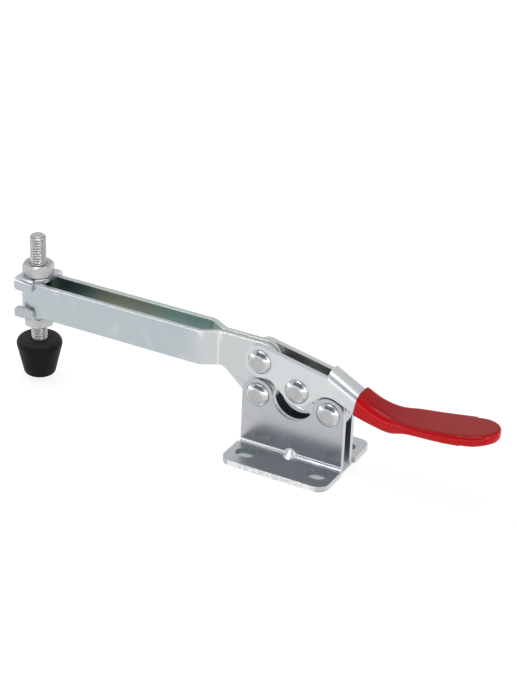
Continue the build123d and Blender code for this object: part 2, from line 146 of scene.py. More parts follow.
class Shader:
    """A node tree of a material or of the room, built through one method.

    Args:
        owner: the material or the world that the tree belongs to.
    """

    NOISE_ROUGHNESS = 0.55
    MIX_FACTOR, MIX_FIRST, MIX_SECOND = 0, 6, 7

    def __init__(self, owner: Union[bpy.types.Material, bpy.types.World]) -> None:
        owner.use_nodes = True
        self.owner = owner
        self.tree = owner.node_tree
        self.tree.nodes.clear()

    def node(self, kind: str, settings: dict[str, Any], inputs: dict[Any, Any]) -> bpy.types.Node:
        """Adds a node.

        Args:
            kind: Blender's type name for the node.
            settings: attributes of the node, set before its sockets.
            inputs: socket name or number to a value, a Field or an output socket.

        Returns:
            The new node.
        """
        made = self.tree.nodes.new(kind)
        for key, value in settings.items():
            setattr(made, key, value)
        for key, value in inputs.items():
            socket = made.inputs[key]
            if isinstance(value, Field):
                self.tree.links.new(value.socket, socket)
            elif isinstance(value, bpy.types.NodeSocket):
                self.tree.links.new(value, socket)
            else:
                socket.default_value = value
        return made

    def out(
        self, kind: str, settings: dict[str, Any], inputs: dict[Any, Any], output: Output = Output.FIRST
    ) -> bpy.types.NodeSocket:
        """Adds a node and gives one of its outputs."""
        return self.node(kind, settings, inputs).outputs[output.value]

    def field(self, kind: str, settings: dict[str, Any], inputs: dict[Any, Any], output: Output) -> Field:
        """Adds a node and gives one of its outputs as a number."""
        return Field(self, self.out(kind, settings, inputs, output))

    def place(self) -> bpy.types.NodeSocket:
        """Position on the piece, in its own frame."""
        return self.out("ShaderNodeTexCoord", {}, {}, Output.OBJECT)

    def facing(self) -> bpy.types.NodeSocket:
        """Direction that the surface faces.

        Returns:
            The socket of the direction, in the piece's own frame.
        """
        normal = self.out("ShaderNodeNewGeometry", {}, {}, Output.NORMAL)
        settings = {"vector_type": "NORMAL", "convert_from": "WORLD", "convert_to": "OBJECT"}
        return self.out("ShaderNodeVectorTransform", settings, {0: normal})

    def axes(self, source: bpy.types.NodeSocket) -> tuple[Field, ...]:
        """The three coordinates of a vector."""
        parts = self.node("ShaderNodeSeparateXYZ", {}, {0: source}).outputs
        return tuple(Field(self, parts[letter]) for letter in "XYZ")

    def noise(
        self, per_mm: float, octaves: float = 2.0, stretch: Sequence[float] = (1, 1, 1), shift: float = 0.0
    ) -> Field:
        """Cloudy noise between 0 and 1.

        Args:
            per_mm: clouds in a millimetre.
            octaves: how many finer layers it has.
            stretch: how often it repeats along each axis, as a share of per_mm.
            shift: moves the pattern, so that two noises differ.

        Returns:
            The noise field.
        """
        spread = {"Vector": self.place(), "Scale": stretch, "Location": (shift, shift, shift)}
        inputs = {
            "Vector": self.out("ShaderNodeMapping", {}, spread),
            "Scale": per_mm / MM,
            "Detail": octaves,
            "Roughness": self.NOISE_ROUGHNESS,
        }
        return self.field("ShaderNodeTexNoise", {}, inputs, Output.FIRST)

    def mix(self, factor: Number, first: Paint, second: Paint) -> bpy.types.NodeSocket:
        """Blend of two colours.

        Args:
            factor: 0 for the first colour, 1 for the second.
            first: a colour, or a socket that carries one.
            second: the other.

        Returns:
            The socket of the blended colour.
        """
        inputs = {self.MIX_FACTOR: factor}
        for place, colour in ((self.MIX_FIRST, first), (self.MIX_SECOND, second)):
            inputs[place] = (*colour, 1.0) if isinstance(colour, tuple) else colour
        return self.out("ShaderNodeMix", {"data_type": "RGBA"}, inputs, Output.BLEND)

    def bump(self, height: Field, depth: float, strength: float) -> bpy.types.NodeSocket:
        """Fine relief.

        Args:
            height: field between 0 and 1.
            depth: its depth in millimetres.
            strength: how much of it shows.

        Returns:
            The socket of the relief's normal.
        """
        inputs = {"Height": height, "Distance": depth * MM, "Strength": strength}
        return self.out("ShaderNodeBump", {}, inputs)

    def surface(self, inputs: dict[str, Any]) -> bpy.types.Material:
        """Ends the material in one Principled surface.

        Args:
            inputs: values and fields of its sockets.

        Returns:
            The finished material.
        """
        body = self.out("ShaderNodeBsdfPrincipled", {}, inputs)
        self.node("ShaderNodeOutputMaterial", {}, {"Surface": body})
        return self.owner


# ------------------------------------------------------------------ finishes
@dataclass(frozen=True)
class Cloud:
    """Soft patches of a second tint: their noise, the range where they begin, and how far they cover."""

    per_mm: float
    octaves: float
    shift: float
    edge: Range
    share: float

    def over(self, s: Shader, base: Paint, tint: Colour) -> bpy.types.NodeSocket:
        """Lays the patches over a colour.

        Args:
            s: the finish's shader.
            base: what lies under them.
            tint: their own colour.

        Returns:
            The socket of the patchy colour.
        """
        patches = s.noise(self.per_mm, self.octaves, shift=self.shift).step(*self.edge)
        return s.mix(patches * self.share, base, tint)


@dataclass(frozen=True)
class InsideShade:
    """Painted shade inside a folded pressing: its inward faces are coloured darker, as they lie in shade,
    and made a little rougher.

    Its colour changes along X at two places. It lies on faces that look inwards and are nearer to
    the middle plane than half.
    """

    half: float
    colours: tuple[Colour, Colour, Colour]
    change_x: Range = (-86.0, -62.0)
    change_soft: Range = (-4.0, 5.0)
    inward: Range = (-0.4, -1.2)
    over: Range = (0.2, -0.1)
    share: float = 0.95
    duller: float = 0.1

    def colour(self, s: Shader, x: Field) -> bpy.types.NodeSocket:
        """The painted shade's colour along the piece.

        Args:
            s: the finish's shader.
            x: place along the clamp.

        Returns:
            The socket of the colour.
        """
        end, middle, far = self.colours
        before, after = self.change_soft
        first, second = (x.step_mm(mark + before, mark + after) for mark in self.change_x)
        return s.mix(second, s.mix(first, end, middle), far)

    def mask(self, y: Field, facing_y: Field) -> Field:
        """Where the painted shade lies.

        Args:
            y: distance from the middle plane.
            facing_y: part of the facing along Y.

        Returns:
            1 where it lies, 0 elsewhere.
        """
        far, near = self.over
        return (y * facing_y).step_mm(*self.inward) * abs(y).step_mm(self.half + far, self.half + near)


@dataclass(frozen=True)
class Slots:
    """Four mounting slots, mirrored in X and in Y, whose walls get little light."""

    x: float = 13.8
    y: float = 11.1
    half_long: float = 3.5
    half_wide: float = 2.8
    wall: Colour = (0.29, 0.335, 0.34)
    share: float = 0.9
    over: Range = (0.35, 0.15)
    upright: Range = (0.7, 0.4)

    def mask(self, x: Field, y: Field, facing_z: Field) -> Field:
        """Where the slots' walls are.

        Args:
            x: place along the clamp.
            y: distance from the middle plane.
            facing_z: part of the facing along Z.

        Returns:
            1 on the walls, 0 elsewhere.
        """
        far, near = self.over
        along = abs(abs(x) - self.x * MM).step_mm(self.half_long + far, self.half_long + near)
        across = abs(abs(y) - self.y * MM).step_mm(self.half_wide + far, self.half_wide + near)
        return along * across * abs(facing_z).step(*self.upright)


@dataclass(frozen=True)
class ZincPlate:
    """Bright zinc plating on pressed sheet, with faint passivation tints.

    A share is how far a tint covers. A slant is a range of the part of the facing along Y or Z, and
    an edge is the range of a noise over which a patch begins. What is None is left out.
    """

    name: str
    silver: Colour = (0.50, 0.52, 0.54)
    blue: Colour = (0.45, 0.49, 0.545)
    straw: Colour = (0.55, 0.56, 0.525)
    lilac: Colour = (0.50, 0.50, 0.555)
    blue_cloud: Cloud = Cloud(0.045, 3.0, 0.0, (0.45, 0.72), 0.75)
    straw_cloud: Cloud = Cloud(0.075, 2.0, 3.1, (0.52, 0.75), 0.6)
    lilac_cloud: Cloud = Cloud(0.11, 2.0, 7.7, (0.55, 0.8), 0.55)
    speck_per_mm: float = 1.6
    speck_edge: Range = (0.6, 0.85)
    speck_share: float = 0.2
    speck_tone: float = 0.82
    rough: float = 0.19
    rough_clouds: float = 0.1
    rough_specks: float = 0.04
    scratch_stretch: tuple[float, float, float] = (0.06, 1.0, 1.0)
    scratch_share: float = 0.4
    relief: float = 0.008
    relief_shows: float = 0.2
    cut: Colour = (0.70, 0.71, 0.71)
    cut_slant: Range = (0.6, 0.3)
    cut_share: float = 0.55
    cut_rough: float = 0.06
    glint: float = 0.0
    glint_slant: Range = (0.25, 0.5)
    glint_colour: Colour = (0.96, 0.96, 0.96)
    rim_half: Optional[float] = None
    rim_deep: Range = (0.15, 0.02)
    rim_share: float = 0.3
    mottle_edge: Range = (0.35, 0.65)
    mottle_share: float = 0.5
    rim_painted_light: Colour = (0.90, 0.91, 0.92)
    warm_x: Optional[float] = None
    warm_soft: Range = (-6.0, 5.0)
    warm_share: float = 0.6
    crease_highlight_x: Optional[float] = None
    crease_highlight_wide: Range = (0.6, 0.1)
    crease_highlight_colour: Colour = (0.80, 0.80, 0.77)
    crease_highlight_share: float = 0.5
    inside_shade: Optional[InsideShade] = None
    slots: Optional[Slots] = None

    def sheet(self, s: Shader, x: Field, speck: Field) -> bpy.types.NodeSocket:
        """Colour of the flat sheet: tinted patches, specks, a straw tint along part of it and a painted
        highlight along a bend.

        Args:
            s: the finish's shader.
            x: place along the clamp.
            speck: noise of the specks.

        Returns:
            The socket of the colour.
        """
        base = self.blue_cloud.over(s, self.silver, self.blue)
        base = self.straw_cloud.over(s, base, self.straw)
        base = self.lilac_cloud.over(s, base, self.lilac)
        darker_tone = tuple(self.speck_tone * part for part in self.silver)
        base = s.mix(speck.step(*self.speck_edge) * self.speck_share, base, darker_tone)
        if self.warm_x is not None:
            before, after = self.warm_soft
            warm = x.step_mm(self.warm_x + before, self.warm_x + after)
            base = s.mix(warm * self.warm_share, base, self.straw)
        # Painted highlight: a light band across the sheet along a bend line.
        if self.crease_highlight_x is not None:
            crease_highlight = abs(x - self.crease_highlight_x * MM).step_mm(*self.crease_highlight_wide)
            base = s.mix(crease_highlight * self.crease_highlight_share, base, self.crease_highlight_colour)
        return base

    def material(self) -> bpy.types.Material:
        """Builds the material.

        Returns:
            The finished material.
        """
        s = Shader(bpy.data.materials.new(self.name))
        x, y, _ = s.axes(s.place())
        _, facing_y, facing_z = s.axes(s.facing())
        speck = s.noise(self.speck_per_mm, 3.0, shift=1.3)
        base = self.sheet(s, x, speck)
        rough = self.rough + s.noise(0.35, 3.0, shift=5.0) * self.rough_clouds + speck * self.rough_specks
        edge = abs(facing_y).step(*self.cut_slant)
        base = s.mix(edge * self.cut_share, base, self.cut)
        rough = rough + edge * self.cut_rough
        if self.glint:
            arris = abs(facing_y).step(*self.glint_slant) * facing_z.step(*self.glint_slant)
            base = s.mix(arris * self.glint, base, self.glint_colour)
        # Painted reflection: the base's outer flange edges are lightened, mottled, as if lit by the floor
        # they face.
        if self.rim_half is not None:
            inner, outer = (self.rim_half - deep for deep in self.rim_deep)
            mottle = s.noise(1.1, 3.0, shift=8.0).step(*self.mottle_edge) * self.mottle_share
            base = s.mix(abs(y).step_mm(inner, outer) * (self.rim_share + mottle), base, self.rim_painted_light)
        # Painted shade: faces inside the fold are coloured darker, and made a little rougher.
        if self.inside_shade is not None:
            painted_shade = self.inside_shade.mask(y, facing_y)
            base = s.mix(painted_shade * self.inside_shade.share, base, self.inside_shade.colour(s, x))
            rough = rough + painted_shade * self.inside_shade.duller
        if self.slots is not None:
            wall = self.slots.mask(x, y, facing_z)
            base = s.mix(wall * self.slots.share, base, self.slots.wall)
        scratch = s.noise(self.speck_per_mm, 2.0, self.scratch_stretch, shift=2.0)
        relief = speck * (1 - self.scratch_share) + scratch * self.scratch_share
        normal = s.bump(relief, self.relief, self.relief_shows)
        return s.surface({"Base Color": base, "Metallic": 1.0, "Roughness": rough, "Normal": normal})


@dataclass(frozen=True)
class Grooves:
    """A thread's grooves, for the painted shade in them. Its core is in shares of the root's radius."""

    axis_x: float
    crest_r: float
    root_r: float
    core: Range = (0.9, 0.96)
    share: float = 0.75

    def mask(self, x: Field, y: Field) -> Field:
        """Where the grooves are.

        Args:
            x: place along the clamp.
            y: distance from the middle plane.

        Returns:
            1 in the grooves, 0 on the crests and on the middle of the end.
        """
        out = x - self.axis_x * MM
        radius = (out * out + y * y) ** 0.5
        inner, outer = (part * self.root_r for part in self.core)
        return radius.step_mm(self.crest_r, self.root_r) * radius.step_mm(inner, outer)


@dataclass(frozen=True)
class TurnedSteel:
    """Plated fastener steel of the nuts, the spindle and the rivets."""

    name: str
    light: Colour = (0.49, 0.49, 0.50)
    dark: Colour = (0.39, 0.395, 0.395)
    dark_edge: Range = (0.4, 0.75)
    dark_share: float = 0.6
    rough: float = 0.22
    rough_clouds: float = 0.1
    rough_grain: float = 0.05
    grain: float = 0.012
    grain_shows: float = 0.3
    flank_sheen: Colour = (0.70, 0.71, 0.71)
    flank_sheen_slant: Range = (0.975, 0.88)
    flank_sheen_share: float = 0.0
    root: Colour = (0.27, 0.27, 0.265)
    grooves: Optional[Grooves] = None

    def material(self) -> bpy.types.Material:
        """Builds the material.

        Returns:
            The finished material.
        """
        s = Shader(bpy.data.materials.new(self.name))
        clouds = s.noise(0.3, 3.0)
        fine = s.noise(3.0, 3.0, shift=4.0)
        base = s.mix(clouds.step(*self.dark_edge) * self.dark_share, self.light, self.dark)
        # Painted sheen: faces that don't look straight along Y, such as a rivet head's flank, are coloured
        # lighter.
        if self.flank_sheen_share:
            _, facing_y, _ = s.axes(s.facing())
            flank = abs(facing_y).step(*self.flank_sheen_slant)
            base = s.mix(flank * self.flank_sheen_share, base, self.flank_sheen)
        # Painted shade: the thread's roots are coloured darker.
        if self.grooves is not None:
            x, y, _ = s.axes(s.place())
            base = s.mix(self.grooves.mask(x, y) * self.grooves.share, base, self.root)
        rough = self.rough + clouds * self.rough_clouds + fine * self.rough_grain
        normal = s.bump(fine, self.grain, self.grain_shows)
        return s.surface({"Base Color": base, "Metallic": 1.0, "Roughness": rough, "Normal": normal})


@dataclass(frozen=True)
class DippedVinyl:
    """Glossy dipped vinyl."""

    name: str
    red: Colour = (0.40, 0.002, 0.004)
    deep: Colour = (0.33, 0.0015, 0.003)
    deep_edge: Range = (0.35, 0.75)
    top_shade: Colour = (0.24, 0.004, 0.006)
    top_shade_slant: Range = (0.45, 0.95)
    top_shade_share: float = 0.8
    rough: float = 0.1
    rough_clouds: float = 0.08
    specular: float = 0.17
    ripple: float = 0.12
    ripple_shows: float = 0.35

    def material(self) -> bpy.types.Material:
        """Builds the material.

        Returns:
            The finished material.
        """
        s = Shader(bpy.data.materials.new(self.name))
        _, _, facing_z = s.axes(s.facing())
        base = s.mix(s.noise(0.05, 2.0).step(*self.deep_edge), self.red, self.deep)
        # Painted shade: faces that look up are coloured darker, for the dimmer light on the grip's top.
        base = s.mix(facing_z.step(*self.top_shade_slant) * self.top_shade_share, base, self.top_shade)
        ripple = s.noise(0.16, 1.0, (0.5, 1, 1), shift=2.2)
        return s.surface(
            {
                "Base Color": base,
                "Roughness": self.rough + s.noise(0.5, 2.0, shift=6.0) * self.rough_clouds,
                "Specular IOR Level": self.specular,
                "Normal": s.bump(ripple, self.ripple, self.ripple_shows),
            }
        )


@dataclass(frozen=True)
class MouldedRubber:
    """Matt black moulded rubber."""

    name: str
    black: Colour = (0.003, 0.003, 0.004)
    bloom: Colour = (0.007, 0.007, 0.008)
    bloom_edge: Range = (0.5, 0.8)
    bloom_share: float = 0.6
    top_light: Colour = (0.022, 0.022, 0.021)
    top_light_slant: Range = (0.3, 0.9)
    rough: float = 0.48
    rough_bloom: float = 0.2
    specular: float = 0.10
    grain: float = 0.03
    grain_shows: float = 0.4

    def material(self) -> bpy.types.Material:
        """Builds the material.

        Returns:
            The finished material.
        """
        s = Shader(bpy.data.materials.new(self.name))
        _, _, facing_z = s.axes(s.facing())
        bloom = s.noise(0.2, 4.0).step(*self.bloom_edge)
        base = s.mix(bloom * self.bloom_share, self.black, self.bloom)
        # Painted light: faces that look up are coloured lighter, for the soft light on the cap's top.
        return s.surface(
            {
                "Base Color": s.mix(facing_z.step(*self.top_light_slant), base, self.top_light),
                "Roughness": self.rough + bloom * self.rough_bloom,
                "Specular IOR Level": self.specular,
                "Normal": s.bump(s.noise(4.0, 2.0, shift=1.0), self.grain, self.grain_shows),
            }
        )


# ------------------------------------------------------------------ mesh helpers
def mesh_piece(name: str, rings: Sequence[Sequence[Vector]], body: str) -> bpy.types.Object:
    """Closed skin over a row of rings, with a cap at each end.

    Args:
        name: name of the piece.
        rings: rings of the same number of points, in millimetres.
        body: the body that it rides on.

    Returns:
        The piece, in metres.
    """
    work = bmesh.new()
    loops = [[work.verts.new(p * MM) for p in ring] for ring in rings]
    count = len(loops[0])
    for low, high in zip(loops, loops[1:]):
        for i in range(count):
            j = (i + 1) % count
            work.faces.new((low[i], low[j], high[j], high[i]))
    work.faces.new(loops[0][::-1])
    work.faces.new(loops[-1])
    bmesh.ops.recalc_face_normals(work, faces=work.faces)
    mesh = bpy.data.meshes.new(name)
    work.to_mesh(mesh)
    work.free()
    mesh.shade_smooth()
    piece = bpy.data.objects.new(name, mesh)
    bpy.context.scene.collection.objects.link(piece)
    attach(piece, body)
    return piece


def paint(piece: bpy.types.Object, material: bpy.types.Material) -> None:
    """Puts one material on every slot of a piece.

    Args:
        piece: a piece or the floor.
        material: its finish.
    """
    if not piece.material_slots:
        piece.data.materials.append(material)
    for place in piece.material_slots:
        place.material = material


def soften(piece: bpy.types.Object, width: float, hard: bool = True) -> None:
    """Rounds a piece's sharp edges.

    Args:
        piece: a piece with faceted faces.
        width: width of the rounding, in millimetres.
        hard: keeps the flats beside the rounding flat in the light.
    """
    weld = piece.modifiers.new("weld", "WELD")
    weld.merge_threshold = WELD
    bevel = piece.modifiers.new("edge_round", "BEVEL")
    bevel.width = width * MM
    bevel.segments = 2
    bevel.limit_method = "ANGLE"
    bevel.angle_limit = SHARP
    bevel.harden_normals = hard
    bevel.miter_outer = "MITER_ARC"
    bevel.use_clamp_overlap = True


# ------------------------------------------------------------------ sub-assemblies
@dataclass
class Pressings:
    """The pressed sheet pieces: base plates, bar, links, handle and washers.

    An inner half is how far from the middle plane the inner faces of a folded pressing are.
    """

    edge_round: float = 0.26
    bar_inner_half: float = 4.15
    leg_inner_half: float = 2.4
    tab_inner_half: float = 6.25
    rim_half: float = 18.6
    joggle_x: float = -30.2
    warm_x: float = -38.0

    def finishes(self) -> dict[str, ZincPlate]:
        """The plating of each pressing.

        Returns:
            Finish of each piece, by the piece's name.
        """
        links = ZincPlate("zinc_links")
        base = ZincPlate(
            "zinc_base",
            silver=(0.455, 0.468, 0.49),
            blue=(0.41, 0.445, 0.50),
            straw=(0.49, 0.495, 0.475),
            lilac=(0.455, 0.45, 0.50),
            inside_shade=InsideShade(self.leg_inner_half, ((0.27, 0.29, 0.31),) * 3),
            rim_half=self.rim_half,
            slots=Slots(),
            glint=0.3,
        )
        handle = ZincPlate(
            "zinc_handle",
            silver=(0.61, 0.625, 0.64),
            blue=(0.555, 0.585, 0.63),
            straw=(0.64, 0.65, 0.625),
            lilac=(0.60, 0.595, 0.645),
            inside_shade=InsideShade(self.leg_inner_half, ((0.38, 0.40, 0.37),) * 3),
            glint=0.15,
            rough=0.3,
        )
        bar = ZincPlate(
            "zinc_bar",
            silver=(0.445, 0.50, 0.52),
            blue=(0.41, 0.475, 0.545),
            straw=(0.61, 0.615, 0.59),
            lilac=(0.49, 0.51, 0.54),
            inside_shade=InsideShade(self.bar_inner_half, ((0.23, 0.32, 0.31), (0.45, 0.475, 0.415), (0.41, 0.53, 0.50))),
            warm_x=self.warm_x,
            crease_highlight_x=self.joggle_x,
            glint=0.9,
        )
        washer = ZincPlate(
            "zinc_washers",
            silver=(0.46, 0.495, 0.525),
            blue=(0.40, 0.46, 0.52),
            inside_shade=InsideShade(self.tab_inner_half, ((0.05, 0.07, 0.08),) * 3),
            rough=0.22,
            glint=0.3,
        )
        # Painted shade: the lower washer gets a darker copy of the washers' plating, for the shade under
        # the bar; it is also rougher.
        darker_tone = replace(
            washer, name="zinc_washer_low", silver=(0.42, 0.445, 0.45), blue=(0.40, 0.43, 0.45), rough=0.28
        )
        return {
            "base_plate_front": base,
            "base_plate_rear": base,
            "bar": bar,
            "handle": handle,
            "link_plate_front": links,
            "link_plate_rear": links,
            "washer_upper": washer,
            "washer_lower": darker_tone,
        }

    def dress(self) -> list[str]:
        """Softens and plates each pressing.

        Returns:
            Names of the dressed pieces.
        """
        finishes = self.finishes()
        made = {finish.name: finish.material() for finish in finishes.values()}
        for name, finish in finishes.items():
            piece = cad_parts[name]
            paint(piece, made[finish.name])
            soften(piece, self.edge_round, hard=name != "bar")
        return list(finishes)


@dataclass
class Rivets:
    """The four solid rivets, with their heads as the riveting tool forms them.

    A head has a short upright rim, a flank that swells a little on its way in, and a flat face with
    a rounded edge. Each pivot is a rivet's name, its body, and its axis in X and Z.
    """

    shank_r: float = 2.1
    head_r: float = 4.4
    flat_r: float = 2.6
    under: float = 4.25
    rim: float = 0.4
    high: float = 1.7
    foot_round: float = 0.08
    rim_round: float = 0.1
    swell_out: float = 0.096
    swell_up: float = 0.112
    flank_steps: int = 12
    face_round: float = 0.22
    face_drop: float = 0.16
    face_angles: tuple[float, ...] = (20.0, 43.3, 66.6, 89.9)
    crown_share: float = 0.4
    crown_drop: float = 0.03
    around: int = 64
    pivots: tuple[tuple[str, str, float, float], ...] = (
        ("rivet_a", "base", -13.5, 21.8),
        ("rivet_b", "handle", -13.2, 34.5),
        ("rivet_c", "handle", 1.3, 27.2),
        ("rivet_d", "base", 13.5, 21.8),
    )

    def profile(self) -> list[tuple[float, float]]:
        """Outline of half a rivet.

        Returns:
            Radius and distance from the middle plane, from the shank to the face of one head.
        """
        shoulder, face = self.under + self.rim, self.under + self.high
        points = [(self.shank_r, 0.0), (self.shank_r, self.under)]
        points += [(self.head_r - self.foot_round, self.under), (self.head_r, self.under + self.foot_round)]
        points += [(self.head_r, shoulder - self.rim_round)]
        for k in range(1, self.flank_steps):
            t = k / self.flank_steps
            swell = 4 * t * (1 - t)
            r = self.head_r + (self.flat_r - self.head_r) * t + swell * self.swell_out
            points.append((r, shoulder + (face - shoulder) * t + swell * self.swell_up))
        for angle in map(math.radians, self.face_angles):
            r = self.flat_r - self.face_round * (1 - math.cos(angle))
            points.append((r, face - self.face_drop * (1 - math.sin(angle))))
        return points + [(self.flat_r * self.crown_share, face - self.crown_drop)]

    def build(self, name: str, body: str, x: float, z: float) -> bpy.types.Object:
        """Turns one rivet.

        Args:
            name: name of the rivet's solid.
            body: the body that it rides on.
            x: place of its axis along the clamp.
            z: height of its axis.

        Returns:
            The rivet.
        """
        half = self.profile()
        rows = [(r, -y) for r, y in reversed(half)] + half[1:]
        turns = [2 * math.pi * k / self.around for k in range(self.around)]
        rings = []
        for r, y in rows:
            rings.append([Vector((x + r * math.cos(turn), y, z + r * math.sin(turn))) for turn in turns])
        return mesh_piece(name + "_turned", rings, body)

    def dress(self) -> list[str]:
        """Turns each rivet and gives it polished steel with a painted sheen.

        Returns:
            Names of the dressed pieces.
        """
        steel = TurnedSteel(
            "rivet_polish_and_sheen",
            light=(0.44, 0.45, 0.45),
            dark=(0.38, 0.39, 0.385),
            rough=0.13,
            flank_sheen_share=0.42,
        )
        polish_and_sheen = steel.material()
        made = []
        for name, body, x, z in self.pivots:
            rivet = self.build(name, body, x, z)
            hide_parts(name)
            paint(rivet, polish_and_sheen)
            made.append(rivet.name)
        return made


@dataclass
class SpindleSet:
    """Threaded spindle with its nuts and rubber cap.

    The thread's flat crest and its flank are shares of half a pitch, and bright is how far below
    the crest the painted shade of the grooves begins.
    """

    axis_x: float = -105.6
    crest_r: float = 2.95
    thread_deep: float = 0.5
    crest_flat: float = 0.12
    flank: float = 0.72
    bright: float = 0.1
    pitch: float = 1.0
    bottom: float = 9.0
    top: float = 57.2
    point: float = 0.6
    nut_round: float = 0.12
    around: int = 36
    per_turn: int = 10

    def radius(self, height: float, turn: float) -> float:
        """Radius of the thread's surface.

        Args:
            height: Z in millimetres.
            turn: angle round the axis, in turns.

        Returns:
            The radius in millimetres.
        """
        phase = (height / self.pitch - turn) % 1.0
        wave = (abs(2.0 * phase - 1.0) - self.crest_flat) / self.flank
        radius = self.crest_r - self.thread_deep * min(max(wave, 0.0), 1.0)
        pointed = self.crest_r - self.point + (self.top - height)
        return min(radius, pointed)

    def build(self) -> bpy.types.Object:
        """Cuts the thread.

        Returns:
            The threaded spindle.
        """
        rows = int((self.top - self.bottom) / self.pitch * self.per_turn)
        rings = []
        for row in range(rows + 1):
            height = self.bottom + (self.top - self.bottom) * row / rows
            ring = []
            for turn in (k / self.around for k in range(self.around)):
                r = self.radius(height, turn)
                angle = 2 * math.pi * turn
                ring.append(Vector((self.axis_x + r * math.cos(angle), r * math.sin(angle), height)))
            rings.append(ring)
        return mesh_piece("spindle_thread", rings, "spindle")

    def dress(self) -> list[str]:
        """Builds and plates the spindle, its nuts and its cap.

        Returns:
            Names of the dressed pieces.
        """
        thread = self.build()
        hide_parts("spindle")
        steel = TurnedSteel(
            "bolt_plating",
            light=(0.60, 0.60, 0.59),
            dark=(0.50, 0.50, 0.49),
            rough=0.16,
            grain=0.004,
            grooves=Grooves(self.axis_x, self.crest_r - self.bright, self.crest_r - self.thread_deep),
        )
        paint(thread, steel.material())
        nut_steel = TurnedSteel("nut_plating", rough=0.26).material()
        for name in ("nut_upper", "nut_lower"):
            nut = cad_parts[name]
            paint(nut, nut_steel)
            soften(nut, self.nut_round)
        paint(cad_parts["cap"], MouldedRubber("rubber_cap").material())
        return ["spindle_thread", "nut_upper", "nut_lower", "cap"]


class Station(NamedTuple):
    """One section of the grip: its X, half width, top, bottom and upper corner radius."""

    x: float
    half: float
    top: float
    bottom: float
    upper: float


